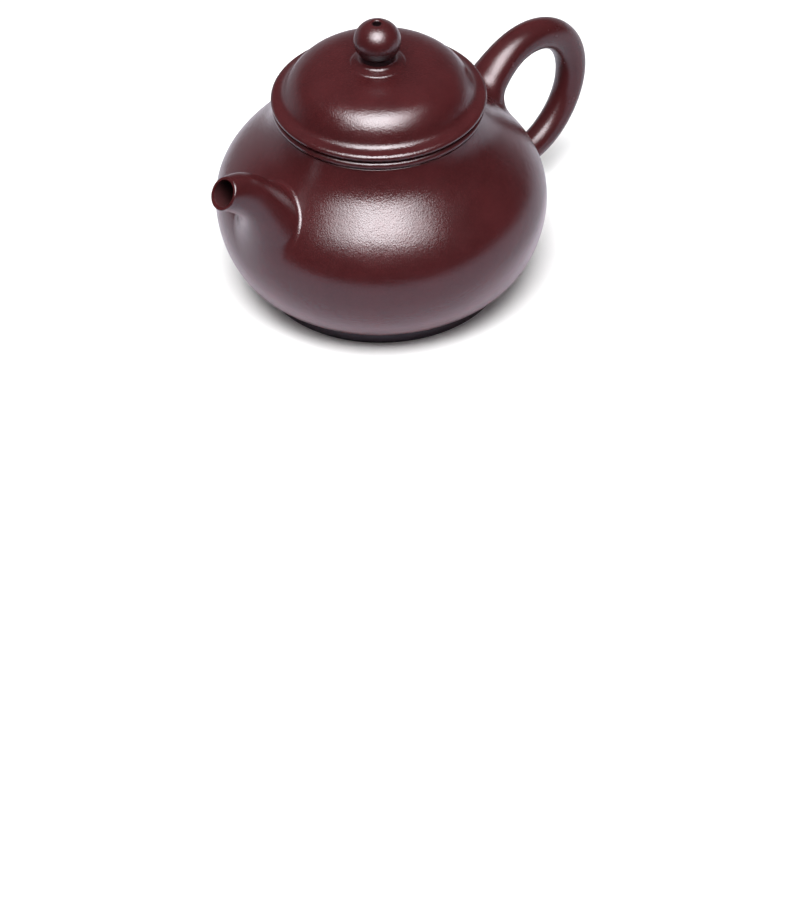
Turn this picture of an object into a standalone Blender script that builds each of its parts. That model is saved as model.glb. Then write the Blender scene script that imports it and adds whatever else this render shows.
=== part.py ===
"""A round-bellied clay teapot with a lift-off lid, made of the pieces that a potter lutes together.

The pot is a beaten body wall closed by a base disc and a shoulder disc. It has a foot ring, a neck band, a
mouth rim, a hollow spout over a pierced strainer dome, and a bent clay bar for a handle. The lid is a dome on
a flat seat ring, with a flange that hangs into the mouth, and a ball knob on a low collar. A vent hole runs
down through the knob.

Run with: blender --background --python part.py
"""

import math

import bmesh
import bpy
import numpy as np
from mathutils import Matrix, Vector

MM = 0.001

# ---- Driving dimensions ------------------------------------------------------------------------------------
BELLY_RADIUS = 47.1 * MM
BELLY_HEIGHT = 27.0 * MM
FOOT_RADIUS = 35.1 * MM
FOOT_WIDTH = 5.0 * MM
FOOT_HEIGHT = 3.2 * MM
NECK_RADIUS = 29.4 * MM
NECK_TOP = 56.2 * MM
MOUTH_RADIUS = 29.9 * MM
MOUTH_INNER = 26.6 * MM
MOUTH_TOP = 58.8 * MM
LID_RADIUS = 30.2 * MM
LID_SEAT_TOP = 61.4 * MM
LID_CROWN = 71.6 * MM
KNOB_RADIUS = 6.6 * MM
KNOB_CENTRE = 79.0 * MM
KNOB_TOP = 85.1 * MM
SPOUT_REACH = 58.7 * MM
HANDLE_REACH = 77.6 * MM

WALL = 2.8 * MM
GAP = 0.3 * MM
BASE_TOP = 6.3 * MM
SHOULDER_SEAM = 46.2 * MM
NECK_SEAM = 50.4 * MM
FLANGE_WALL = 2.4 * MM
FLANGE_BOTTOM = 52.6 * MM
SEAT_RING_INNER = 22.4 * MM
COLLAR_RADIUS = 7.8 * MM
COLLAR_TOP = 73.4 * MM
KNOB_NECK = 5.05 * MM
VENT_RADIUS = 1.15 * MM

# The origin is under the middle of the footprint, which reaches further on the handle's side.
AXIS_X = (HANDLE_REACH - SPOUT_REACH) / 2

# ---- Outlines, as (radius, height) from the pot's axis and the surface that it stands on -------------------
POT_OUTLINE = (
    (35.4 * MM, 3.5 * MM),
    (38.9 * MM, 6.6 * MM),
    (42.5 * MM, 11.3 * MM),
    (45.2 * MM, 17.8 * MM),
    (BELLY_RADIUS, BELLY_HEIGHT),
    (45.6 * MM, 33.8 * MM),
    (41.6 * MM, 39.7 * MM),
    (36.0 * MM, 45.6 * MM),
    (31.9 * MM, 50.6 * MM),
    (NECK_RADIUS, NECK_TOP),
)
LID_OUTLINE = (
    (28.6 * MM, LID_SEAT_TOP + GAP),
    (26.7 * MM, 63.0 * MM),
    (25.3 * MM, 65.0 * MM),
    (23.4 * MM, 67.4 * MM),
    (20.1 * MM, 69.6 * MM),
    (14.0 * MM, 71.1 * MM),
    (7.6 * MM, LID_CROWN),
)
LID_HOLLOW = (
    (SEAT_RING_INNER, LID_SEAT_TOP + GAP),
    (21.9 * MM, 64.6 * MM),
    (19.4 * MM, 66.8 * MM),
    (13.6 * MM, 68.4 * MM),
    (7.0 * MM, 69.0 * MM),
)
KNOB_OUTLINE = (
    (2.9 * MM, 84.9 * MM),
    (5.4 * MM, 82.8 * MM),
    (KNOB_RADIUS, KNOB_CENTRE),
    (6.1 * MM, 76.4 * MM),
    (5.3 * MM, 74.8 * MM),
    (KNOB_NECK, COLLAR_TOP + GAP),
)

# ---- Spout, from inside the wall to the cut tip ------------------------------------------------------------
# Each station is (x, z, half height, half width, bore radius, rise in degrees). A section stands square to
# its rise.
SPOUT_STATIONS = (
    (37.6 * MM, 34.6 * MM, 12.2 * MM, 13.6 * MM, 6.8 * MM, 39),
    (41.2 * MM, 39.0 * MM, 10.1 * MM, 10.6 * MM, 6.3 * MM, 39),
    (44.2 * MM, 44.8 * MM, 7.4 * MM, 7.2 * MM, 5.1 * MM, 37),
    (48.0 * MM, 50.1 * MM, 6.2 * MM, 5.8 * MM, 4.4 * MM, 35),
    (53.0 * MM, 53.6 * MM, 5.2 * MM, 4.9 * MM, 3.9 * MM, 32),
    (56.1 * MM, 55.1 * MM, 4.15 * MM, 4.15 * MM, 3.4 * MM, 38),
)
BORE_OVERRUN = 3 * MM

# ---- Strainer, a pierced dome that stands into the pot from a hole in its wall -----------------------------
ROOT_X = 42.4 * MM
ROOT_Z = 38.5 * MM
ROOT_RISE = 33
HOLE_RADIUS = 7.9 * MM
STRAINER_RADIUS = 7.6 * MM
STRAINER_WALL = 1.3 * MM
STRAINER_SINK = 1.3 * MM
STRAINER_COLLAR = 2.2 * MM
STRAINER_RISE = 5.4 * MM
PORE_RADIUS = 0.8 * MM
PORE_RINGS = ((0, 1), (26, 6), (51, 12))
PORE_REACH = (0.66, 1.3)

# ---- Handle, the bar's centre line from its upper root round to its lower root, as (x, z, radius) ----------
HANDLE_LINE = (
    (-33.0 * MM, 37.2 * MM, 6.0 * MM),
    (-37.2 * MM, 42.0 * MM, 5.3 * MM),
    (-43.6 * MM, 48.4 * MM, 4.7 * MM),
    (-51.2 * MM, 52.7 * MM, 4.6 * MM),
    (-60.4 * MM, 52.9 * MM, 4.6 * MM),
    (-68.2 * MM, 48.6 * MM, 4.55 * MM),
    (-72.5 * MM, 41.2 * MM, 4.5 * MM),
    (-73.0 * MM, 32.2 * MM, 4.3 * MM),
    (-69.6 * MM, 23.7 * MM, 4.1 * MM),
    (-62.8 * MM, 16.8 * MM, 4.0 * MM),
    (-54.0 * MM, 13.6 * MM, 3.9 * MM),
    (-46.0 * MM, 14.0 * MM, 3.9 * MM),
    (-40.0 * MM, 15.5 * MM, 4.2 * MM),
)

# ---- Fineness of the round shapes --------------------------------------------------------------------------
POT_TURNS = 48
KNOB_TURNS = 32
VENT_TURNS = 16
SPOUT_SIDES = 28
PORE_SIDES = 8
BAR_RESOLUTION = 4
OUTLINE_STEPS = 2
SHARP_ANGLE = math.radians(35)

POT_CLAY = (0.080, 0.021, 0.022, 1)
LID_CLAY = (0.084, 0.022, 0.023, 1)
INNER_CLAY = (0.066, 0.018, 0.018, 1)
CLAY_ROUGHNESS = 0.3


# ---- Lines -------------------------------------------------------------------------------------------------
def smooth_line(points, steps):
    """Points along a Catmull-Rom curve through the given ones, steps apart between each pair."""
    rows = np.array(points)
    ends = np.vstack([2 * rows[0] - rows[1], rows, 2 * rows[-1] - rows[-2]])
    line = []
    for a, b, c, d in zip(ends, ends[1:], ends[2:], ends[3:]):
        for t in np.arange(steps) / steps:
            line.append(b + t / 2 * (c - a + t * (2 * a - 5 * b + 4 * c - d + t * (3 * (b - c) + d - a))))
    return np.array(line + [rows[-1]])


def stretch(line, low, high):
    """The part of a rising line between two heights."""
    inside = [point for point in line if low < point[1] < high]
    ends = [np.array((np.interp(height, line[:, 1], line[:, 0]), height)) for height in (low, high)]
    return np.array([ends[0], *inside, ends[1]])


def beside(line, distance):
    """The line moved sideways, to the left of its own direction."""
    along = np.gradient(line, axis=0)
    along /= np.linalg.norm(along, axis=1)[:, None]
    return line + distance * np.column_stack([-along[:, 1], along[:, 0]])


def arc(centre, radii, start, end, steps):
    """Points on a quarter or other part of an ellipse, between two angles in degrees."""
    angles = np.radians(np.linspace(start, end, steps + 1))
    return [(centre[0] + radii[0] * math.cos(a), centre[1] + radii[1] * math.sin(a)) for a in angles]


# ---- Objects -----------------------------------------------------------------------------------------------
def clear_scene():
    for obj in list(bpy.data.objects):
        bpy.data.objects.remove(obj, do_unlink=True)


def collection(name):
    made = bpy.data.collections.new(name)
    bpy.context.scene.collection.children.link(made)
    return made


def clay(name, colour):
    material = bpy.data.materials.new(name)
    material.use_nodes = True
    shader = material.node_tree.nodes["Principled BSDF"]
    shader.inputs["Base Color"].default_value = colour
    shader.inputs["Roughness"].default_value = CLAY_ROUGHNESS
    shader.inputs["Metallic"].default_value = 0
    return material


def place(name, mesh, home, parent=None, colour=None):
    """Makes an object of the mesh. One with a colour is a piece of the teapot, and another is a cutter."""
    obj = bpy.data.objects.new(name, mesh)
    home.objects.link(obj)
    obj.parent = parent
    if colour is None:
        obj.hide_render = True
        obj.display_type = "WIRE"
        return obj
    obj.data.materials.append(clay(name + "_clay", colour))
    return obj


def turned_mesh(profile, closed=True):
    points = [(radius, 0, height) for radius, height in profile]
    edges = [(i, i + 1) for i in range(len(points) - 1)]
    if closed:
        edges.append((len(points) - 1, 0))
    mesh = bpy.data.meshes.new("profile")
    mesh.from_pydata(points, edges, [])
    return mesh


def turn(obj, turns, to_axis=False):
    screw = obj.modifiers.new("turn", "SCREW")
    screw.steps = turns
    screw.render_steps = turns
    screw.use_merge_vertices = to_axis
    screw.merge_threshold = GAP / 100
    return obj


def loft_mesh(sections):
    """A closed mesh through rings of the same number of points, with flat ends."""
    shape = bmesh.new()
    rings = [[shape.verts.new(point) for point in section] for section in sections]
    for lower, upper in zip(rings, rings[1:]):
        for i in range(len(lower)):
            shape.faces.new((lower[i - 1], lower[i], upper[i], upper[i - 1]))
    shape.faces.new(rings[0])
    shape.faces.new(rings[-1])
    bmesh.ops.recalc_face_normals(shape, faces=shape.faces)
    mesh = bpy.data.meshes.new("loft")
    shape.to_mesh(mesh)
    shape.free()
    mesh.shade_smooth()
    return mesh


def combine(obj, other, operation):
    boolean = obj.modifiers.new(other.name, "BOOLEAN")
    boolean.operation = operation
    boolean.object = other
    boolean.solver = "EXACT"


# ---- The pot's turned pieces -------------------------------------------------------------------------------
def wall_profile(line):
    """The closed outline of a wall: down its outer side, then up its inner one."""
    inner = beside(line, WALL)
    return [*line[::-1], *inner]


def make_pot(home, parent):
    """The foot, base, wall, shoulder, neck and mouth, each luted to the next along a level seam."""
    outline = smooth_line(POT_OUTLINE, OUTLINE_STEPS)
    seams = (BASE_TOP + GAP, SHOULDER_SEAM, NECK_SEAM, NECK_TOP)
    foot_inner = FOOT_RADIUS - FOOT_WIDTH
    foot = [
        *arc((FOOT_RADIUS - GAP, FOOT_HEIGHT - GAP), (GAP, GAP), 90, 0, 1),
        *arc((FOOT_RADIUS - 2 * GAP, 2 * GAP), (2 * GAP, 2 * GAP), 0, -90, 2),
        *arc((foot_inner + 2 * GAP, 2 * GAP), (2 * GAP, 2 * GAP), -90, -180, 2),
        (foot_inner, FOOT_HEIGHT),
    ]
    base_edge = stretch(outline, FOOT_HEIGHT + GAP, BASE_TOP)
    base = [(0, BASE_TOP), *base_edge[::-1], (0, FOOT_HEIGHT + GAP)]
    mouth = [
        *arc((MOUTH_INNER + GAP, MOUTH_TOP - GAP), (GAP, GAP), 180, 90, 1),
        *arc((MOUTH_RADIUS - 4 * GAP, NECK_TOP / 2 + GAP / 2 + MOUTH_TOP / 2), (4 * GAP, 3.8 * GAP), 90, -90, 6),
        (MOUTH_INNER, NECK_TOP + GAP),
    ]
    pieces = {}
    for name, low, high in zip(("body_wall", "shoulder_disc", "neck_band"), seams, seams[1:]):
        top = high if high == NECK_TOP else high - GAP
        pieces[name] = wall_profile(stretch(outline, low, top))
    pieces["foot_ring"] = foot
    pieces["mouth_rim"] = mouth
    made = {}
    for name, profile in pieces.items():
        made[name] = turn(place(name, turned_mesh(profile), home, parent, POT_CLAY), POT_TURNS)
    made["base_disc"] = place("base_disc", turned_mesh(base, closed=False), home, parent, POT_CLAY)
    turn(made["base_disc"], POT_TURNS, to_axis=True)
    return made


def make_blank(cutters, parent):
    """The pot as one solid lump, a little larger, that cuts the spout and the handle off at the wall."""
    grown = beside(smooth_line(POT_OUTLINE, OUTLINE_STEPS), -GAP)
    profile = [(0, grown[-1][1]), *grown[::-1], (0, grown[0][1])]
    blank = place("pot_blank", turned_mesh(profile, closed=False), cutters, parent)
    return turn(blank, POT_TURNS, to_axis=True)


# ---- The spout and its strainer ----------------------------------------------------------------------------
def spout_section(x, z, half_height, half_width, rise):
    """An ellipse that stands square to the rise."""
    up = Vector((-math.sin(math.radians(rise)), 0, math.cos(math.radians(rise))))
    across = Vector((0, 1, 0))
    angles = [math.tau * i / SPOUT_SIDES for i in range(SPOUT_SIDES)]
    centre = Vector((x, 0, z))
    return [centre + up * half_height * math.cos(a) + across * half_width * math.sin(a) for a in angles]


def make_spout(home, cutters, parent, blank):
    stations = smooth_line(SPOUT_STATIONS, OUTLINE_STEPS)
    outside = [spout_section(x, z, tall, wide, rise) for x, z, tall, wide, bore, rise in stations]
    inside = [spout_section(x, z, bore, bore, rise) for x, z, tall, wide, bore, rise in stations]
    tip_rise = math.radians(SPOUT_STATIONS[-1][-1])
    past_tip = BORE_OVERRUN * Vector((math.cos(tip_rise), 0, math.sin(tip_rise)))
    inside.append([point + past_tip for point in inside[-1]])
    spout = place("spout", loft_mesh(outside), home, parent, POT_CLAY)
    bore = place("spout_bore", loft_mesh(inside), cutters, parent)
    combine(spout, blank, "DIFFERENCE")
    combine(spout, bore, "DIFFERENCE")


def root_matrix(depth):
    """A place on the spout's root axis, this far under the wall's face, that looks into the pot."""
    inward = Vector((-math.cos(math.radians(ROOT_RISE)), 0, -math.sin(math.radians(ROOT_RISE))))
    turned = inward.to_track_quat("Z", "Y").to_matrix().to_4x4()
    return Matrix.Translation(Vector((ROOT_X, 0, ROOT_Z)) + inward * depth) @ turned


def cylinder_mesh(radius, start, end, sides, turned):
    """A closed cylinder along the matrix's Z axis between two heights."""
    shape = bmesh.new()
    bmesh.ops.create_cone(
        shape,
        cap_ends=True,
        segments=sides,
        radius1=radius,
        radius2=radius,
        depth=end - start,
        matrix=turned @ Matrix.Translation((0, 0, (start + end) / 2)),
    )
    return shape


def make_wall_hole(cutters, parent, wall):
    shape = cylinder_mesh(HOLE_RADIUS, -WALL, 3 * WALL, SPOUT_SIDES, Matrix.Identity(4))
    mesh = bpy.data.meshes.new("wall_hole")
    shape.to_mesh(mesh)
    shape.free()
    hole = place("wall_hole", mesh, cutters, parent)
    hole.matrix_local = root_matrix(0)
    combine(wall, hole, "DIFFERENCE")


def pores_mesh():
    """The pores' drills, which fan out through the dome from the middle of its foot."""
    pores = bmesh.new()
    middle = Matrix.Translation((0, 0, STRAINER_COLLAR))
    for tilt, count in PORE_RINGS:
        for i in range(count):
            spin = Matrix.Rotation(math.tau * i / count, 4, "Z")
            lean = Matrix.Rotation(math.radians(tilt), 4, "Y")
            start, end = (share * STRAINER_RADIUS for share in PORE_REACH)
            if tilt == 0:
                start = PORE_REACH[0] * STRAINER_RISE
            drill = cylinder_mesh(PORE_RADIUS, start, end, PORE_SIDES, middle @ spin @ lean)
            mesh = bpy.data.meshes.new("pore")
            drill.to_mesh(mesh)
            drill.free()
            pores.from_mesh(mesh)
            bpy.data.meshes.remove(mesh)
    made = bpy.data.meshes.new("pores")
    pores.to_mesh(made)
    pores.free()
    return made


def make_strainer(home, cutters, parent):
    inner = STRAINER_RADIUS - STRAINER_WALL
    inner_rise = STRAINER_RISE - STRAINER_WALL
    profile = [
        *arc((0, STRAINER_COLLAR), (STRAINER_RADIUS, STRAINER_RISE), 90, 0, 6),
        (STRAINER_RADIUS, 0),
        (inner, 0),
        *arc((0, STRAINER_COLLAR), (inner, inner_rise), 0, 90, 6),
    ]
    strainer = place("strainer", turned_mesh(profile, closed=False), home, parent, INNER_CLAY)
    strainer.matrix_local = root_matrix(STRAINER_SINK)
    turn(strainer, KNOB_TURNS, to_axis=True)
    pores = place("strainer_pores", pores_mesh(), cutters, parent)
    pores.matrix_local = strainer.matrix_local
    combine(strainer, pores, "DIFFERENCE")


# ---- The handle --------------------------------------------------------------------------------------------
def make_handle(home, cutters, parent, blank):
    """A bar of round clay, bent to an ear and cut off at the wall."""
    curve = bpy.data.curves.new("handle_line", "CURVE")
    curve.dimensions = "3D"
    curve.bevel_depth = 1
    curve.bevel_resolution = BAR_RESOLUTION
    curve.use_fill_caps = True
    line = smooth_line(HANDLE_LINE, OUTLINE_STEPS)
    spline = curve.splines.new("POLY")
    spline.points.add(len(line) - 1)
    for point, (x, z, radius) in zip(spline.points, line):
        point.co = (x, 0, z, 1)
        point.radius = radius
    guide = place("handle_guide", curve, cutters)
    bpy.context.view_layer.update()
    evaluated = guide.evaluated_get(bpy.context.evaluated_depsgraph_get())
    mesh = bpy.data.meshes.new_from_object(evaluated)
    bpy.data.objects.remove(guide, do_unlink=True)
    shape = bmesh.new()
    shape.from_mesh(mesh)
    bmesh.ops.remove_doubles(shape, verts=shape.verts, dist=GAP / 100)
    shape.to_mesh(mesh)
    shape.free()
    mesh.shade_smooth()
    handle = place("handle", mesh, home, parent, POT_CLAY)
    combine(handle, blank, "DIFFERENCE")


# ---- The lid's turned pieces -------------------------------------------------------------------------------
def make_lid(home, parent):
    seat_bottom = MOUTH_TOP + GAP
    seat_middle = (seat_bottom + LID_SEAT_TOP) / 2
    seat_half = (LID_SEAT_TOP - seat_bottom) / 2
    seat = [
        (SEAT_RING_INNER, LID_SEAT_TOP),
        *arc((LID_RADIUS - seat_half, seat_middle), (seat_half, seat_half), 90, -90, 6),
        (SEAT_RING_INNER, seat_bottom),
    ]
    flange_outer = MOUTH_INNER - GAP
    flange = [
        (flange_outer, MOUTH_TOP),
        *arc((flange_outer - 2 * GAP, FLANGE_BOTTOM + 2 * GAP), (2 * GAP, 2 * GAP), 0, -90, 2),
        (flange_outer - FLANGE_WALL, FLANGE_BOTTOM),
        (flange_outer - FLANGE_WALL, MOUTH_TOP),
    ]
    crown = smooth_line(LID_OUTLINE, OUTLINE_STEPS)
    hollow = smooth_line(LID_HOLLOW, OUTLINE_STEPS)
    dome = [(VENT_RADIUS, LID_CROWN), *crown[::-1], *hollow, (VENT_RADIUS, LID_HOLLOW[-1][1])]
    collar_bottom = LID_CROWN + GAP
    collar = [
        (VENT_RADIUS, COLLAR_TOP),
        *arc((COLLAR_RADIUS - GAP, COLLAR_TOP), (COLLAR_RADIUS - GAP - KNOB_NECK, 1 * MM), 180, 270, 3),
        (COLLAR_RADIUS, collar_bottom + GAP / 2),
        (COLLAR_RADIUS - GAP / 2, collar_bottom),
        (VENT_RADIUS, collar_bottom),
    ]
    knob = [
        (VENT_RADIUS, KNOB_TOP - 2 * GAP),
        (VENT_RADIUS + GAP, KNOB_TOP),
        *smooth_line(KNOB_OUTLINE, OUTLINE_STEPS),
        (VENT_RADIUS, KNOB_OUTLINE[-1][1]),
    ]
    pieces = (
        ("lid_flange", flange, POT_TURNS),
        ("lid_seat_ring", seat, POT_TURNS),
        ("lid_dome", dome, POT_TURNS),
        ("knob_collar", collar, KNOB_TURNS),
        ("knob", knob, KNOB_TURNS),
    )
    for name, profile, turns in pieces:
        turn(place(name, turned_mesh(profile), home, parent, LID_CLAY), turns)


def main():
    clear_scene()
    home = collection("clay_teapot")
    cutters = collection("cutters")
    axis = bpy.data.objects.new("teapot", None)
    axis.location.x = AXIS_X
    home.objects.link(axis)
    pot = make_pot(home, axis)
    blank = make_blank(cutters, axis)
    make_wall_hole(cutters, axis, pot["body_wall"])
    make_strainer(home, cutters, axis)
    make_spout(home, cutters, axis, blank)
    make_handle(home, cutters, axis, blank)
    make_lid(home, axis)


main()
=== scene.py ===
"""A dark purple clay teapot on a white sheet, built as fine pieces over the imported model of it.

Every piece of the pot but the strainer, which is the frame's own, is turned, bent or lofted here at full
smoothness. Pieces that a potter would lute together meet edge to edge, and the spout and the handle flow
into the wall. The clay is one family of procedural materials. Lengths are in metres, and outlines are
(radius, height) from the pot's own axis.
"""

import math

import bmesh
import bpy
import numpy as np
from mathutils import Matrix, Vector


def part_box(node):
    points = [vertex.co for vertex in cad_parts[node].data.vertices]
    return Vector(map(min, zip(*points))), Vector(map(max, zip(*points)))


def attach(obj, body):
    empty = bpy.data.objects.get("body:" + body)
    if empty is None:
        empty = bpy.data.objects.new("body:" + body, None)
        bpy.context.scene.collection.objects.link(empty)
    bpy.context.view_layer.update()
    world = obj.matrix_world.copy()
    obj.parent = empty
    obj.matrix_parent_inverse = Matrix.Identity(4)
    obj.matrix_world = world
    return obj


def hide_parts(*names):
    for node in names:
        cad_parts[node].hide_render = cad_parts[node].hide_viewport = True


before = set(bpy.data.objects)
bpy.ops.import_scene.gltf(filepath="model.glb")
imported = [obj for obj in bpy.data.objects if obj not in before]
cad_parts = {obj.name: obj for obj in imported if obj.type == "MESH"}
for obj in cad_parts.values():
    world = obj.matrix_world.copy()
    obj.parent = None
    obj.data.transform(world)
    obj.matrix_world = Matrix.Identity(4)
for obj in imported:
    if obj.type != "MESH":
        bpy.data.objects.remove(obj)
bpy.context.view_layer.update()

MM = 0.001


def middle_x(node):
    low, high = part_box(node)
    return (low.x + high.x) / 2


def levels(node):
    low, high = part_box(node)
    return low.z, high.z


def reach(node):
    low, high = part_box(node)
    return (high.y - low.y) / 2


# ---- Sizes from the frame ----------------------------------------------------------------------------------
AXIS_X = middle_x("neck_band")
FOOT_BOTTOM, FOOT_TOP = levels("foot_ring")
FOOT_RADIUS = reach("foot_ring")
BASE_TOP = levels("base_disc")[1]
SHOULDER_SEAM = levels("body_wall")[1]
NECK_SEAM = levels("shoulder_disc")[1]
MOUTH_SEAM = (levels("neck_band")[1] + levels("mouth_rim")[0]) / 2
MOUTH_RADIUS = reach("mouth_rim")
MOUTH_TOP = levels("mouth_rim")[1]
SEAT_BOTTOM, SEAT_TOP = levels("lid_seat_ring")
SEAT_RADIUS = reach("lid_seat_ring")
FLANGE_BOTTOM = levels("lid_flange")[0]
FLANGE_RADIUS = reach("lid_flange")
CROWN = levels("lid_dome")[1]
KNOB_TOP = levels("knob")[1]
KNOB_RADIUS = reach("knob")
CAD_GAP = SEAT_BOTTOM - MOUTH_TOP

# ---- Sizes that the frame doesn't hold ---------------------------------------------------------------------
WALL = 2.8 * MM
FOOT_WIDTH = 5.0 * MM
FLANGE_WALL = 2.4 * MM
MOUTH_INNER = FLANGE_RADIUS + CAD_GAP
SEAT_INNER = 22.4 * MM
LID_CLEARANCE = 0.03 * MM
SPOUT_HOLE_RADIUS = 7.9 * MM
ROOT_DEPTH = 0.9 * MM
VENT_RADIUS = 1.25 * MM
KNOB_CENTRE = 79.0 * MM

POT_OUTLINE = [
    (35.1, 3.5), (40.1, 6.2), (44.0, 11.5), (46.5, 18.7), (47.5, 27.0),
    (45.7, 34.4), (40.9, 40.8), (35.2, 46.3), (30.9, 51.4), (29.3, 56.4),
]
LID_OUTLINE = [
    (29.15, 61.33), (27.9, 61.55), (26.8, 62.05), (26.0, 63.4), (24.9, 65.7), (22.5, 68.6),
    (18.3, 70.6), (13.2, 71.35), (9.5, 71.6), (7.6, 71.6),
]
LID_HOLLOW = [(22.4, 61.4), (22.2, 65.0), (19.6, 67.6), (13.6, 68.8), (6.0, 69.0), (1.2, 69.0)]

# ---- Spout and handle --------------------------------------------------------------------------------------
SPOUT_TOP_EDGE = [(30.5, 41.8), (32.6, 43.6), (38.1, 48.7), (44.2, 55.6), (49.7, 58.6), (53.8, 58.75)]
SPOUT_LOW_EDGE = [(44.6, 24.6), (47.1, 27.6), (47.5, 35.0), (50.1, 44.9), (56.1, 49.3), (59.2, 51.05)]
SPOUT_HALF_WIDTHS = [13.4, 12.8, 9.8, 6.0, 4.8, 4.4]
SPOUT_BORE_SHARES = [0.50, 0.55, 0.62, 0.72, 0.78, 0.80]
HANDLE_LINE = [
    (-33.0, 37.0, 6.2, 8.4), (-36.6, 41.5, 5.2, 7.4), (-43.0, 49.1, 4.6, 5.5), (-53.5, 54.6, 4.6, 4.7),
    (-66.0, 52.3, 4.6, 4.6), (-74.1, 41.5, 4.6, 4.6), (-73.0, 27.4, 4.1, 4.2), (-64.5, 16.7, 4.1, 4.2),
    (-53.7, 12.6, 3.8, 4.1), (-44.8, 13.6, 3.6, 4.2), (-39.0, 16.4, 4.0, 5.0),
]

TURNS = 224
SMALL_TURNS = 96
SHARP_ANGLE = math.radians(38)


# ---- Lines -------------------------------------------------------------------------------------------------
def b_spline(control, count, unit=MM):
    """Points along a clamped uniform cubic B-spline. Its control points are in millimetres, or in unit."""
    control = np.array(control, float)
    total = len(control)
    knots = np.concatenate([[0] * 3, np.linspace(0, 1, total - 2), [1] * 3])
    t = np.linspace(0, 1 - 1e-9, count)
    basis = [((knots[i] <= t) & (t < knots[i + 1])).astype(float) for i in range(total + 3)]
    for degree in (1, 2, 3):
        raised = []
        for i in range(len(basis) - 1):
            before = knots[i + degree] - knots[i]
            after = knots[i + degree + 1] - knots[i + 1]
            rising = (t - knots[i]) / before if before else 0 * t
            falling = (knots[i + degree + 1] - t) / after if after else 0 * t
            raised.append(rising * basis[i] + falling * basis[i + 1])
        basis = raised
    return np.array(basis).T @ control * unit


def arc(centre, radii, start, end, steps):
    """Points on part of an ellipse between two angles in degrees, whose radii are lengths."""
    angles = np.radians(np.linspace(start, end, steps + 1))
    return np.column_stack([centre[0] + radii[0] * np.cos(angles), centre[1] + radii[1] * np.sin(angles)])


def rounded(points, radius, steps=5):
    """A closed outline with each corner replaced by a small curve."""
    points = np.array(points, float)
    line = []
    for before, corner, after in zip(np.roll(points, 1, 0), points, np.roll(points, -1, 0)):
        into = before - corner
        out = after - corner
        start = corner + into / np.linalg.norm(into) * min(radius, np.linalg.norm(into) * 0.45)
        end = corner + out / np.linalg.norm(out) * min(radius, np.linalg.norm(out) * 0.45)
        t = np.linspace(0, 1, steps + 1)[:, None]
        line.extend((1 - t) ** 2 * start + 2 * t * (1 - t) * corner + t**2 * end)
    return np.array(line)


def beside(line, distance):
    """The line moved sideways, to the left of its own direction."""
    along = np.gradient(line, axis=0)
    along /= np.linalg.norm(along, axis=1)[:, None]
    return line + distance * np.column_stack([-along[:, 1], along[:, 0]])


POT_LINE = b_spline(POT_OUTLINE, 400)


def pot_radius(height):
    return np.interp(height, POT_LINE[:, 1], POT_LINE[:, 0])


def pot_normal(point):
    """The pot's outward normal at the height and the bearing of a point."""
    step = 0.2 * MM
    slope = (pot_radius(point[2] + step) - pot_radius(point[2] - step)) / (2 * step)
    normal = np.array([point[0], point[1], -slope * np.hypot(point[0], point[1])])
    return normal / np.linalg.norm(normal)


PURPLE = (0.056, 0.0102, 0.0115)
# Painted shade: a near-black clay tone laid where the pot stands in shade, on the foot, in the vent's bore
# and under the knob's ball.
PAINTED_SHADE = (0.014, 0.0055, 0.007)
GLOSS_TINT = (0.84, 0.90, 1.0, 1)
DENT_DEPTH = 0.035 * MM
GRAIN_DEPTH = 0.055 * MM
PIT_DEPTH = 0.004 * MM


# ---- Clay --------------------------------------------------------------------------------------------------
class Nodes:
    """Short calls that add and join nodes in a material or in the world."""

    def __init__(self, owner, space="Object"):
        self.tree = owner.node_tree
        self.shader = self.tree.nodes.get("Principled BSDF")
        self.place = self.add("ShaderNodeTexCoord").outputs[space]

    def add(self, kind, **settings):
        node = self.tree.nodes.new(kind)
        for key, value in settings.items():
            setattr(node, key, value)
        return node

    def join(self, source, target):
        self.tree.links.new(source, target)

    def noise(self, size, detail=2, roughness=0.5):
        """A noise whose grains are about this size."""
        node = self.add("ShaderNodeTexNoise")
        node.inputs["Scale"].default_value = 1 / size
        node.inputs["Detail"].default_value = detail
        node.inputs["Roughness"].default_value = roughness
        self.join(self.place, node.inputs["Vector"])
        return node.outputs["Fac"]

    def grains(self, size):
        """A cell pattern: the distance from the middle of each cell, in cells."""
        node = self.add("ShaderNodeTexVoronoi")
        node.inputs["Scale"].default_value = 1 / size
        self.join(self.place, node.inputs["Vector"])
        return node

    def spread(self, value, low, high, new_low, new_high):
        """The value moved from one range to another, and held inside it."""
        node = self.add("ShaderNodeMapRange")
        node.inputs["From Min"].default_value = low
        node.inputs["From Max"].default_value = high
        node.inputs["To Min"].default_value = new_low
        node.inputs["To Max"].default_value = new_high
        self.join(value, node.inputs["Value"])
        return node.outputs["Result"]

    def height(self):
        node = self.add("ShaderNodeSeparateXYZ")
        self.join(self.place, node.inputs[0])
        return node.outputs["Z"]

    def choose(self, factor, first, second):
        """A number between two, each a number or another node's output."""
        node = self.add("ShaderNodeMix")
        self.join(factor, node.inputs["Factor"])
        for socket, value in ((node.inputs["A"], first), (node.inputs["B"], second)):
            if isinstance(value, float):
                socket.default_value = value
            else:
                self.join(value, socket)
        return node.outputs["Result"]

    def blend(self, factor, first, second):
        """A colour between two, each a colour or another node's output."""
        node = self.add("ShaderNodeMix", data_type="RGBA")
        self.join(factor, node.inputs["Factor"])
        for socket, value in zip((node.inputs[6], node.inputs[7]), (first, second)):
            if isinstance(value, tuple):
                socket.default_value = (*value, 1)
            else:
                self.join(value, socket)
        return node.outputs[2]

    def bump(self, height, depth, strength=1.0, before=None):
        node = self.add("ShaderNodeBump")
        node.inputs["Distance"].default_value = depth
        node.inputs["Strength"].default_value = strength
        self.join(height, node.inputs["Height"])
        if before is not None:
            self.join(before, node.inputs["Normal"])
        return node.outputs["Normal"]


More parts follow.
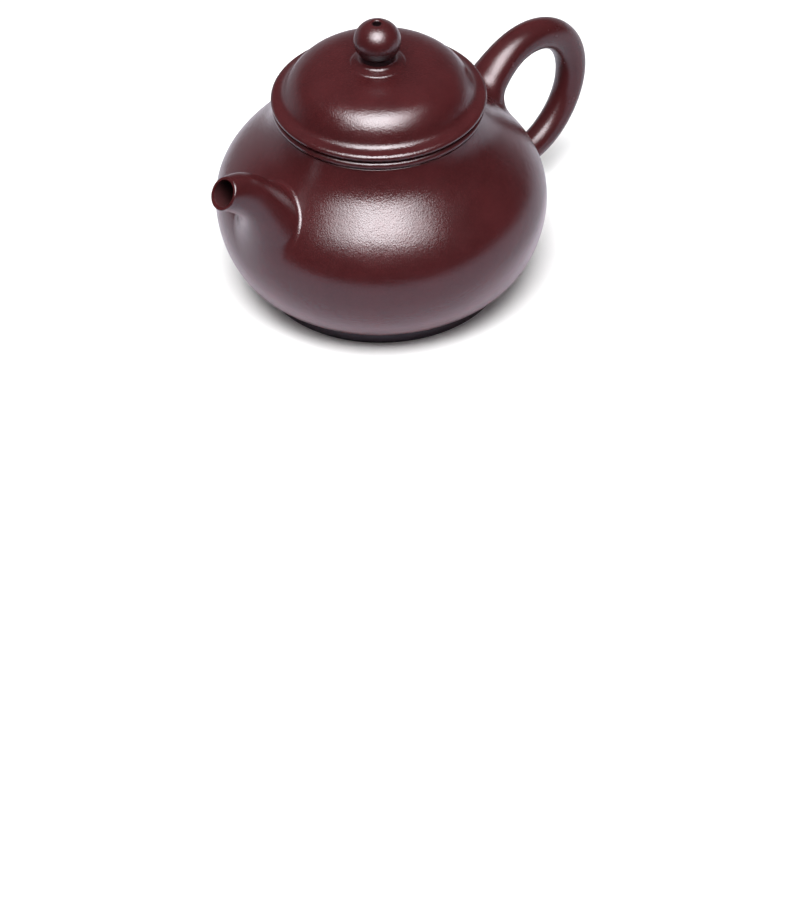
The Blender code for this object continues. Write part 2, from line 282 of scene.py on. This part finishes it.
def clay(name, colour, roughness, peel=1.0, grain=1.0, gloss=0.55, painted_shade_heights=None):
    """Burnished unglazed clay: fine grain, faint clouds of tone, sparse grit and tiny pits.

    peel scales the soft dents and grain the fine ones. The last argument is a pair of heights: the tone falls
    to a near-black painted shade from the first to the second.
    """
    material = bpy.data.materials.new(name)
    material.use_nodes = True
    nodes = Nodes(material)
    deep = tuple(0.88 * part for part in colour)
    warm = tuple(1.12 * part for part in colour)
    clouds = nodes.spread(nodes.noise(14 * MM, 4, 0.6), 0.35, 0.65, 0, 1)
    tone = nodes.blend(clouds, deep, warm)
    mottle = nodes.spread(nodes.noise(0.7 * MM, 3, 0.7), 0.42, 0.7, 0, 0.5)
    tone = nodes.blend(mottle, tone, tuple(1.3 * part for part in colour))
    grit = nodes.grains(1.3 * MM)
    specks = nodes.spread(grit.outputs["Distance"], 0.05, 0.09, 0.2, 0)
    tone = nodes.blend(specks, tone, (2.6 * colour[0], 4 * colour[1], 3.4 * colour[2]))
    # Painted shade: below the first height the tone darkens to the near-black shade tone, fully by the
    # second.
    if painted_shade_heights is not None:
        tone = nodes.blend(nodes.spread(nodes.height(), *painted_shade_heights, 0, 1), tone, PAINTED_SHADE)
    nodes.join(tone, nodes.shader.inputs["Base Color"])
    worn = nodes.spread(nodes.noise(5 * MM, 3, 0.6), 0.3, 0.7, roughness - 0.03, roughness + 0.03)
    nodes.join(worn, nodes.shader.inputs["Roughness"])
    normal = nodes.bump(nodes.noise(2.4 * MM, 2), DENT_DEPTH * peel)
    normal = nodes.bump(nodes.noise(0.48 * MM, 2, 0.6), GRAIN_DEPTH * grain, before=normal)
    pits = nodes.spread(nodes.grains(0.9 * MM).outputs["Distance"], 0.0, 0.16, 0, 1)
    normal = nodes.bump(pits, PIT_DEPTH, before=normal)
    nodes.join(normal, nodes.shader.inputs["Normal"])
    nodes.shader.inputs["Specular IOR Level"].default_value = gloss
    nodes.shader.inputs["Specular Tint"].default_value = GLOSS_TINT
    return material


CLAY = {
    "pot_clay": clay("pot_clay", PURPLE, 0.21),
    "lid_clay": clay("lid_clay", PURPLE, 0.19, grain=1.45),
    "inner_clay": clay("inner_clay", (0.050, 0.011, 0.012), 0.45, peel=1.6),
}
# Painted shade: near-black clay for the foot, in shade under the belly, and for the vent's bore.
PAINTED_SHADE_CLAY = clay("painted_shade_clay", PAINTED_SHADE, 0.3)
# The knob's ball darkens underneath to painted shade, down to its neck.
KNOB_CLAY = clay("knob_clay", PURPLE, 0.22, grain=1.45, painted_shade_heights=(79.6 * MM, 76.4 * MM))
HANDLE_CLAY = clay("handle_clay", PURPLE, 0.25, grain=0.6, gloss=0.4)


# ---- Mesh makers -------------------------------------------------------------------------------------------
def mesh_piece(name, points, faces, node, body, slot, inner_faces=None):
    """A smooth object on the pot's axis that rides on a body and stands for a node of the frame."""
    mesh = bpy.data.meshes.new(name)
    mesh.from_pydata([tuple(point) for point in points], [], faces)
    mesh.validate()
    mesh.shade_smooth()
    mesh.set_sharp_from_angle(angle=SHARP_ANGLE)
    mesh.materials.append(CLAY[slot])
    if inner_faces is not None:
        mesh.materials.append(CLAY["inner_clay"])
        mesh.polygons.foreach_set("material_index", np.array(inner_faces, int))
    piece = bpy.data.objects.new(name, mesh)
    bpy.context.scene.collection.objects.link(piece)
    piece.location.x = AXIS_X
    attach(piece, body)
    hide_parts(node)
    return piece


def grid_faces(rows, columns, closed_rows):
    """Quads between rows of points, each row a closed ring."""
    faces = []
    for i in range(rows if closed_rows else rows - 1):
        low = i * columns
        high = (i + 1) % rows * columns
        for j in range(columns):
            k = (j + 1) % columns
            faces.append((low + j, high + j, high + k, low + k))
    return faces


def turned(name, profile, body, slot, turns=TURNS, inner=None):
    """A ring turned from a closed outline that runs down its outer side and up its inner one.

    inner is a test of (radius, height) for the stretches that lie inside the pot, in rougher clay.
    """
    profile = np.array(profile)
    angles = np.arange(turns) * math.tau / turns
    ring = np.column_stack([np.cos(angles), np.sin(angles)])
    points = [(*(radius * way), height) for radius, height in profile for way in ring]
    faces = grid_faces(len(profile), turns, True)
    marks = None
    if inner is not None:
        marks = [inner(*profile[i]) for i in range(len(profile)) for _ in range(turns)]
    return mesh_piece(name, points, faces, name, body, slot, marks)


def turned_disc(name, profile, body, slot):
    """A solid disc turned from an outline that runs down its outer side, closed by flat faces."""
    profile = np.array(profile)
    angles = np.arange(TURNS) * math.tau / TURNS
    ring = np.column_stack([np.cos(angles), np.sin(angles)])
    points = [(*(radius * way), height) for radius, height in profile for way in ring]
    faces = grid_faces(len(profile), TURNS, False)
    faces.append(tuple(range(TURNS)))
    faces.append(tuple(reversed(range(len(points) - TURNS, len(points)))))
    return mesh_piece(name, points, faces, name, body, slot)


# ---- The pot's turned pieces -------------------------------------------------------------------------------
def wall_between(low, high):
    """The closed outline of the pot's wall between two heights: down outside, up inside.

    A hair's breadth of wall at each end keeps the shading continuous from one piece to the next.
    """
    heights = POT_LINE[:, 1]
    hair = 0.01 * MM
    rows = heights[(heights > low + 2 * hair) & (heights < high - 2 * hair)]
    rows = np.concatenate([[low, low + hair], rows, [high - hair, high]])
    outer = np.column_stack([pot_radius(rows), rows])
    spread_line = beside(POT_LINE, WALL)
    inner = np.column_stack([np.interp(outer[:, 1], heights, spread_line[:, k]) for k in (0, 1)])
    return np.vstack([outer[::-1], inner])


def make_foot():
    inner = FOOT_RADIUS - FOOT_WIDTH
    top = POT_LINE[0, 1]
    corners = [(FOOT_RADIUS, top), (FOOT_RADIUS, FOOT_BOTTOM), (inner, FOOT_BOTTOM), (inner, FOOT_TOP)]
    foot = turned("foot_ring", rounded(corners, 0.45 * MM), "pot", "pot_clay")
    # The foot is painted near-black, as shade under the belly's overhang.
    foot.data.materials[0] = PAINTED_SHADE_CLAY


def make_base():
    outer = wall_between(POT_LINE[0, 1], BASE_TOP)
    outer = outer[: len(outer) // 2]
    turned_disc("base_disc", outer, "pot", "pot_clay")


def turned_wall(name, profile):
    """A turned band of the wall, burnished outside and rougher inside."""
    return turned(name, profile, "pot", "pot_clay", inner=lambda r, height: r < pot_radius(height) - WALL / 2)


def make_walls():
    """The body and the shoulder, and the neck, whose top edge is rounded over a groove."""
    body = turned_wall("body_wall", wall_between(BASE_TOP, SHOULDER_SEAM))
    turned_wall("shoulder_disc", wall_between(SHOULDER_SEAM, NECK_SEAM))
    softness = 0.3 * MM
    neck = wall_between(NECK_SEAM, MOUTH_SEAM - softness)
    edge = arc((neck[0, 0] - softness, neck[0, 1]), (softness, softness), 90, 0, 5)[:-1]
    turned_wall("neck_band", np.vstack([[(neck[-1, 0], MOUTH_SEAM)], edge, neck]))
    return body


def make_mouth_rim():
    """The bead round the mouth, over a groove that parts it from the neck."""
    middle = (MOUTH_SEAM + MOUTH_TOP) / 2
    half = (MOUTH_TOP - MOUTH_SEAM) / 2
    bead = 1.5 * MM
    edge = arc((MOUTH_RADIUS - bead, middle), (bead, half), 90, -90, 20)
    rim = np.vstack([[(MOUTH_INNER, MOUTH_TOP)], edge, [(MOUTH_INNER, MOUTH_SEAM)]])
    turned("mouth_rim", rim, "pot", "pot_clay")


# ---- Tubes that grow out of the wall -----------------------------------------------------------------------
FILLET_PULL = 0.62


def along_lengths(line):
    return np.concatenate([[0], np.cumsum(np.linalg.norm(np.diff(line, axis=0), axis=1))])


def point_at(line, lengths, length):
    return np.array([np.interp(length, lengths, line[:, k]) for k in range(3)])


def wall_exit(line, lengths):
    """The length along a line where it last leaves the pot, counted from its start inside the wall."""
    clear = np.hypot(line[:, 0], line[:, 1]) - pot_radius(line[:, 2])
    i = np.flatnonzero(clear[: len(line) // 2] < 0)[-1]
    share = clear[i] / (clear[i] - clear[i + 1])
    return lengths[i] + share * (lengths[i + 1] - lengths[i])


def root_curve(line, lengths, exit_length, centre, grow, spread, rows):
    """The fillet from the wall up to a tube's side, and the length along the side where it ends.

    grow is how far up the tube the fillet reaches, and spread how far out over the wall.
    """
    corner = point_at(line, lengths, exit_length)
    normal = pot_normal(corner)
    outward = corner - centre
    outward -= normal * (outward @ normal)
    outward /= np.linalg.norm(outward)
    foot = corner + outward * spread
    foot[:2] *= pot_radius(foot[2]) / np.hypot(*foot[:2])
    foot_normal = pot_normal(foot)
    away = outward - foot_normal * (outward @ foot_normal)
    away /= np.linalg.norm(away)
    top_length = exit_length + grow
    top = point_at(line, lengths, top_length)
    down = top - point_at(line, lengths, top_length + 0.3 * MM)
    down /= np.linalg.norm(down)
    pull_down = FILLET_PULL * np.linalg.norm(top - corner)
    pull_in = FILLET_PULL * np.linalg.norm(foot - corner)
    t = np.linspace(0, 1, rows)[:, None]
    curve = (
        (1 - t) ** 3 * foot
        + 3 * t * (1 - t) ** 2 * (foot - away * pull_in)
        + 3 * t**2 * (1 - t) * (top + down * pull_down)
        + t**3 * top
    )
    return curve, top_length


def sunk(ring):
    """The ring pushed into the pot's wall."""
    return ring - np.array([pot_normal(point) for point in ring]) * ROOT_DEPTH


# ---- The spout ---------------------------------------------------------------------------------------------
SPOUT_SIDES = 112
SPOUT_ROWS = 150
SPOUT_SIDE_ROWS = 90
SPOUT_FILLET_ROWS = 16
TIP_TRIM = 0.2 * MM
BORE_OVERLAP = 1.2 * MM

# Sizes of the root's fillet in millimetres: beside the spout, and what is added over it and under it.
SPOUT_GROW = (1.1, 1.2, 5.5)
SPOUT_SPREAD = (0.8, 1.2, 5.0)


def spout_rings(scale):
    """Ellipses across the spout from inside the wall to the tip, drawn in by a share of its size."""
    top = b_spline(SPOUT_TOP_EDGE, SPOUT_ROWS)
    low = b_spline(SPOUT_LOW_EDGE, SPOUT_ROWS)
    width = b_spline([(value, 0) for value in SPOUT_HALF_WIDTHS], SPOUT_ROWS)[:, 0]
    share = scale[:, None]
    middle = (top + low) / 2
    half = (top - low) / 2 * share
    width = width * scale
    rings = []
    for i in range(SPOUT_ROWS):
        turn = np.arange(SPOUT_SIDES) * math.tau / SPOUT_SIDES
        flat = middle[i] + np.outer(np.cos(turn), half[i])
        rings.append(np.column_stack([flat[:, 0], width[i] * np.sin(turn), flat[:, 1]]))
    return np.array(rings)


def root_size(sizes, over, under):
    """A fillet size where the tube's side faces up by one share and down by another."""
    beside, added_over, added_under = sizes
    return (beside + added_over * over + added_under * under**4) * MM


def make_spout():
    """The spout's sides out of a fillet round its root, its slanted lip, and its bore back to the wall."""
    outside = spout_rings(np.ones(SPOUT_ROWS))
    shares = b_spline([(share, 0) for share in SPOUT_BORE_SHARES], SPOUT_ROWS, unit=1)[:, 0]
    inside = spout_rings(shares)
    columns = []
    centres = outside.mean(axis=1)
    for j in range(SPOUT_SIDES):
        turn = j * math.tau / SPOUT_SIDES
        line = outside[:, j]
        lengths = along_lengths(line)
        exit_length = wall_exit(line, lengths)
        nearest = np.argmin(np.abs(lengths - exit_length))
        under = (1 - math.cos(turn)) / 2
        over = max(0, math.cos(turn)) ** 4
        grow = root_size(SPOUT_GROW, over, under)
        spread = root_size(SPOUT_SPREAD, over, under)
        centre = centres[nearest]
        fillet, start = root_curve(line, lengths, exit_length, centre, grow, spread, SPOUT_FILLET_ROWS)
        stops = np.linspace(start, lengths[-1] - TIP_TRIM, SPOUT_SIDE_ROWS)[1:]
        side = np.array([point_at(line, lengths, stop) for stop in stops])
        columns.append(np.vstack([fillet, side]))
    outer = np.array(columns).transpose(1, 0, 2)
    lip = [outside[-1] + (inside[-1] - outside[-1]) * share for share in (0.2, 0.5, 0.8)]
    bore = inside[-3::-3]
    clear = np.hypot(bore[:, :, 0], bore[:, :, 1]) - pot_radius(bore[:, :, 2])
    bore = bore[clear.max(axis=1) > -BORE_OVERLAP]
    rows = np.vstack([sunk(outer[0])[None], outer, np.array(lip), bore])
    faces = [face[::-1] for face in grid_faces(len(rows), SPOUT_SIDES, True)]
    marks = [row >= len(rows) - len(bore) for row in range(len(rows)) for _ in range(SPOUT_SIDES)]
    mesh_piece("spout", rows.reshape(-1, 3), faces, "spout", "pot", "pot_clay", marks)


# ---- The handle --------------------------------------------------------------------------------------------
HANDLE_SIDES = 72
HANDLE_ROWS = 300
HANDLE_SIDE_ROWS = 220
HANDLE_FILLET_ROWS = 14

# How far the fillet at each end reaches along the bar, and out over the wall.
UPPER_ROOT = (5.5 * MM, 5.2 * MM)
LOWER_ROOT = (3.4 * MM, 2.6 * MM)


def handle_root(edge, centre, size):
    """The fillet at the end where an edge of the bar starts, and the length along the edge where it ends."""
    lengths = along_lengths(edge)
    exit_length = wall_exit(edge, lengths)
    nearest = centre[np.argmin(np.abs(lengths - exit_length))]
    return root_curve(edge, lengths, exit_length, nearest, *size, HANDLE_FILLET_ROWS)


def make_handle():
    """A bar of oval section along its line, with a fillet at each end."""
    line = b_spline(HANDLE_LINE, HANDLE_ROWS)
    centre = np.column_stack([line[:, 0], np.zeros(HANDLE_ROWS), line[:, 1]])
    along = np.gradient(centre, axis=0)
    along /= np.linalg.norm(along, axis=1)[:, None]
    up = np.column_stack([-along[:, 2], np.zeros(HANDLE_ROWS), along[:, 0]])
    columns = []
    for j in range(HANDLE_SIDES):
        turn = j * math.tau / HANDLE_SIDES
        thick = up * math.cos(turn) * line[:, 2:3]
        wide = np.array([0, 1, 0]) * math.sin(turn) * line[:, 3:]
        edge = centre + thick + wide
        upper, start = handle_root(edge, centre, UPPER_ROOT)
        lower, stop = handle_root(edge[::-1], centre[::-1], LOWER_ROOT)
        lengths = along_lengths(edge)
        stops = np.linspace(start, lengths[-1] - stop, HANDLE_SIDE_ROWS)[1:-1]
        bar = np.array([point_at(edge, lengths, length) for length in stops])
        columns.append(np.vstack([upper, bar, lower[::-1]]))
    outer = np.array(columns).transpose(1, 0, 2)
    rows = np.vstack([sunk(outer[0])[None], outer, sunk(outer[-1])[None]])
    faces = grid_faces(len(rows), HANDLE_SIDES, False)
    faces.append(tuple(reversed(range(HANDLE_SIDES))))
    faces.append(tuple(range((len(rows) - 1) * HANDLE_SIDES, len(rows) * HANDLE_SIDES)))
    handle = mesh_piece("handle", rows.reshape(-1, 3), faces, "handle", "pot", "pot_clay")
    handle.data.materials[0] = HANDLE_CLAY


# ---- The lid -----------------------------------------------------------------------------------------------
def make_lid():
    """The lid without its knob. Its flange ends just short of the seat ring, which turns on it."""
    crown = b_spline(LID_OUTLINE, 90)
    hollow = b_spline(LID_HOLLOW, 50)
    half = (SEAT_TOP - SEAT_BOTTOM) / 2
    edge = arc((SEAT_RADIUS - 1.6 * MM, SEAT_BOTTOM + half), (1.6 * MM, half), 68, -90, 22)
    seat = np.vstack([[(SEAT_INNER, crown[0, 1])], crown[:1], edge, [(SEAT_INNER, SEAT_BOTTOM)]])
    turned("lid_seat_ring", seat, "lid", "lid_clay")
    dome = np.vstack([[(VENT_RADIUS, CROWN)], crown[::-1], hollow, [(VENT_RADIUS, hollow[-1, 1])]])
    turned("lid_dome", dome, "lid", "lid_clay")
    inner = FLANGE_RADIUS - FLANGE_WALL
    top = SEAT_BOTTOM - LID_CLEARANCE
    corners = [(FLANGE_RADIUS, top), (FLANGE_RADIUS, FLANGE_BOTTOM), (inner, FLANGE_BOTTOM), (inner, top)]
    turned("lid_flange", rounded(corners, 0.6 * MM), "lid_carrier", "lid_clay")


def make_knob():
    """A ball on a short neck, pierced by the vent, over a low collar that melts into the dome."""
    flare = b_spline([(5.0, 73.65), (5.1, 73.1), (5.5, 72.6), (6.4, 72.35), (6.9, 72.15)], 20)
    edge = b_spline([(6.9, 72.15), (7.4, 72.05), (7.65, 71.8), (8.0, 71.63), (8.6, 71.6)], 12)
    collar = np.vstack([[(VENT_RADIUS, flare[0, 1])], flare, edge[1:], [(VENT_RADIUS, CROWN)]])
    turned("knob_collar", collar, "lid", "lid_clay", SMALL_TURNS)
    ball = arc((0, KNOB_CENTRE), (KNOB_RADIUS, KNOB_TOP - KNOB_CENTRE), 73, -42, 44)
    neck = b_spline([tuple(ball[-1] / MM), (4.98, 74.2), (4.95, 74.0), (5.0, 73.65)], 8)[1:]
    rim = arc((VENT_RADIUS + 0.4 * MM, ball[0, 1] - 0.38 * MM), (0.4 * MM, 0.36 * MM), 180, 85, 6)
    knob = np.vstack([rim, ball, neck, [(VENT_RADIUS, neck[-1, 1])]])
    piece = turned("knob", knob, "lid", "lid_clay", SMALL_TURNS, inner=lambda r, _: r < 1.01 * VENT_RADIUS)
    piece.data.materials[0] = KNOB_CLAY
    # The vent's bore is painted near-black, as shade inside the hole.
    piece.data.materials[1] = PAINTED_SHADE_CLAY


# ---- Strainer: the frame's own piece, in clay, over a hole through the wall --------------------------------
def cut_away(piece, cutter):
    """Takes the cutter's shape out of a piece for good."""
    cut = piece.modifiers.new("cut", "BOOLEAN")
    cut.object = cutter
    cut.operation = "DIFFERENCE"
    bpy.context.view_layer.objects.active = piece
    with bpy.context.temp_override(object=piece, active_object=piece):
        bpy.ops.object.modifier_apply(modifier=cut.name)
    bpy.data.objects.remove(cutter, do_unlink=True)


def spout_hole():
    """A drill through the wall, on the strainer's axis."""
    low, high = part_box("strainer")
    middle = (low + high) / 2 - Vector((AXIS_X, 0, 0))
    slant = Vector((1, 0, 0.65)).to_track_quat("Z", "Y").to_matrix().to_4x4()
    shape = bmesh.new()
    bmesh.ops.create_cone(
        shape,
        cap_ends=True,
        segments=64,
        radius1=SPOUT_HOLE_RADIUS,
        radius2=SPOUT_HOLE_RADIUS,
        depth=6 * WALL,
        matrix=Matrix.Translation(middle) @ slant,
    )
    mesh = bpy.data.meshes.new("wall_hole")
    shape.to_mesh(mesh)
    shape.free()
    hole = bpy.data.objects.new("wall_hole", mesh)
    bpy.context.scene.collection.objects.link(hole)
    hole.location.x = AXIS_X
    bpy.context.view_layer.update()
    return hole


def finish_strainer(wall):
    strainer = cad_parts["strainer"]
    strainer.data.materials.clear()
    strainer.data.materials.append(CLAY["inner_clay"])
    strainer.data.shade_smooth()
    strainer.data.set_sharp_from_angle(angle=math.radians(40))
    cut_away(wall, spout_hole())


# ---- Studio ------------------------------------------------------------------------------------------------
def bearing(azimuth, elevation):
    """A unit vector towards a camera or light at these angles. Azimuth 0 is in front, at -Y."""
    a = math.radians(azimuth)
    e = math.radians(elevation)
    return Vector((math.sin(a) * math.cos(e), -math.cos(a) * math.cos(e), math.sin(e)))


TARGET = Vector((AXIS_X, 0, 35 * MM))

CAMERA_AZIMUTH = 139.9
CAMERA_ELEVATION = 36.492
CAMERA_DISTANCE = 1.1923
CAMERA_LENS = 191.7

# The camera's turns about its own Y, X and Z axes, in degrees.
CAMERA_AIM = (-0.092, -3.988, -1.485)

# The softbox hangs over the camera. Gloss mirrors two cards, a broad one and a brighter one in front of it,
# each a (name, width, radiance, distance).
CARD_AZIMUTH = 137
CARD_ELEVATION = 63.5
CARD_HEIGHT = 0.74
CARD_COLOUR = (1.0, 0.95, 0.89)
CARDS = (("card_wide", 1.15, 9.5, 1.0), ("card_middle", 0.55, 12.5, 0.97))

# Lights that gloss doesn't mirror, each a (name, azimuth, elevation, width, height, radiance). The sheet's
# light falls on the floor only.
FILL = ("fill", 137, 66, 0.8, 0.5, 9.0)
SIDE_FILL = ("side_fill", 10, 55, 0.8, 0.6, 1.6)
SHEET_LIGHT = ("sheet", 137, 66, 0.6, 0.5, 9.0)

WHITE = (1.0, 1.0, 1.0)
LILAC = (0.97, 0.92, 1.0)
SEEN_WHITE = 1.1
OVERHEAD = 0.8
BACKDROP = 0.47
BACKDROP_AZIMUTH = 331
DARK_ROOM = 0.03

# The sheet's colour, and the tones only gloss sees: tinted near the pot, darker further out as painted shade.
SHEET_COLOUR = (0.92, 0.92, 0.925)
SHEET_NEAR = (0.86, 0.80, 0.90)
SHEET_FAR = (0.57, 0.56, 0.62)


def make_camera():
    """A long lens that looks down on the pot, turned a little so that the pot stands high in the frame."""
    data = bpy.data.cameras.new("camera")
    data.sensor_fit = "HORIZONTAL"
    data.sensor_width = 36
    data.lens = CAMERA_LENS
    data.clip_start = 0.01
    camera = bpy.data.objects.new("camera", data)
    bpy.context.scene.collection.objects.link(camera)
    back = bearing(CAMERA_AZIMUTH, CAMERA_ELEVATION)
    right = Vector((0, 0, 1)).cross(back).normalized()
    facing = Matrix((right, back.cross(right), back)).transposed().to_4x4()
    yaw, pitch, roll = (math.radians(angle) for angle in CAMERA_AIM)
    aim = Matrix.Rotation(yaw, 4, "Y") @ Matrix.Rotation(pitch, 4, "X") @ Matrix.Rotation(roll, 4, "Z")
    camera.matrix_world = Matrix.Translation(TARGET + back * CAMERA_DISTANCE) @ facing @ aim
    bpy.context.scene.camera = camera


def make_softbox(name, azimuth, elevation, width, height, radiance, distance=1.0, colour=(1, 1, 1)):
    """A rectangle of light that faces the pot."""
    light = bpy.data.lights.new(name, "AREA")
    light.shape = "RECTANGLE"
    light.size = width
    light.size_y = height
    light.energy = radiance * math.pi * width * height
    light.color = colour
    lamp = bpy.data.objects.new(name, light)
    bpy.context.scene.collection.objects.link(lamp)
    way = bearing(azimuth, elevation)
    facing = way.to_track_quat("Z", "Y").to_matrix().to_4x4()
    lamp.matrix_world = Matrix.Translation(TARGET + way * distance) @ facing
    return lamp


def make_lights(floor):
    for name, width, radiance, distance in CARDS:
        size = (width, CARD_HEIGHT)
        card = make_softbox(name, CARD_AZIMUTH, CARD_ELEVATION, *size, radiance, distance, CARD_COLOUR)
        card.visible_diffuse = False
    for light in (FILL, SIDE_FILL):
        make_softbox(*light).visible_glossy = False
    sheet = make_softbox(*SHEET_LIGHT)
    sheet.visible_glossy = False
    only_floor = bpy.data.collections.new("only_floor")
    only_floor.objects.link(floor)
    sheet.light_linking.receiver_collection = only_floor


def mirrored_room(nodes):
    """How bright gloss sees the room: dark, with a pale backdrop low down behind the pot."""
    behind = nodes.add("ShaderNodeVectorMath", operation="DOT_PRODUCT")
    nodes.join(nodes.place, behind.inputs[0])
    behind.inputs[1].default_value = bearing(BACKDROP_AZIMUTH, 0)
    room = nodes.add("ShaderNodeMath", operation="MULTIPLY_ADD")
    nodes.join(nodes.spread(behind.outputs["Value"], 0.25, 0.65, 0, BACKDROP), room.inputs[0])
    nodes.join(nodes.spread(nodes.height(), 0.1, 0.28, 1, 0.1), room.inputs[1])
    room.inputs[2].default_value = DARK_ROOM
    return room.outputs[0]


def make_world():
    """White to the camera, light from overhead for matt surfaces, and a dark room for gloss."""
    world = bpy.data.worlds.new("studio")
    bpy.context.scene.world = world
    world.use_nodes = True
    world.node_tree.nodes.clear()
    nodes = Nodes(world, "Generated")
    path = nodes.add("ShaderNodeLightPath")
    glossy = path.outputs["Is Glossy Ray"]
    overhead = nodes.spread(nodes.height(), 0.25, 0.95, 0, OVERHEAD)
    unseen = nodes.choose(glossy, overhead, mirrored_room(nodes))
    shade = nodes.add("ShaderNodeBackground")
    nodes.join(nodes.blend(glossy, WHITE, LILAC), shade.inputs["Color"])
    nodes.join(nodes.choose(path.outputs["Is Camera Ray"], unseen, SEEN_WHITE), shade.inputs["Strength"])
    output = nodes.add("ShaderNodeOutputWorld")
    nodes.join(shade.outputs[0], output.inputs["Surface"])


def make_floor():
    """A white sheet that ends in front of the pot, so that the pot mirrors a dark room above its edge.

    One near edge runs along X and the other is turned from it. Both pass the pot's axis at the same distance.
    """
    front = 0.15
    far = 0.9
    turn = math.radians(139)
    near_x = front * (1 - math.cos(turn)) / math.sin(turn)
    far_x = (front + far * math.cos(turn)) / math.sin(turn)
    corners = [(near_x, -front), (far_x, far), (-far, far), (-far, -front)]
    mesh = bpy.data.meshes.new("floor")
    mesh.from_pydata([(x + AXIS_X, y, 0) for x, y in corners], [], [(0, 1, 2, 3)])
    material = bpy.data.materials.new("white_sheet")
    material.use_nodes = True
    nodes = Nodes(material)
    # Gloss sees the sheet tinted and darkening away from the pot: painted shade in the pot's reflections.
    glossy = nodes.add("ShaderNodeLightPath").outputs["Is Glossy Ray"]
    distance = nodes.add("ShaderNodeVectorMath", operation="LENGTH")
    nodes.join(nodes.place, distance.inputs[0])
    away = nodes.spread(distance.outputs["Value"], 50 * MM, 70 * MM, 0, 1)
    mirrored = nodes.blend(away, SHEET_NEAR, SHEET_FAR)
    nodes.join(nodes.blend(glossy, SHEET_COLOUR, mirrored), nodes.shader.inputs["Base Color"])
    nodes.shader.inputs["Roughness"].default_value = 0.9
    nodes.shader.inputs["Specular IOR Level"].default_value = 0.0
    mesh.materials.append(material)
    floor = bpy.data.objects.new("floor", mesh)
    bpy.context.scene.collection.objects.link(floor)
    return floor


make_foot()
make_base()
body = make_walls()
make_mouth_rim()
make_spout()
make_handle()
make_lid()
make_knob()
finish_strainer(body)
make_camera()
make_world()
make_lights(make_floor())
bpy.context.scene.view_settings.view_transform = "Standard"
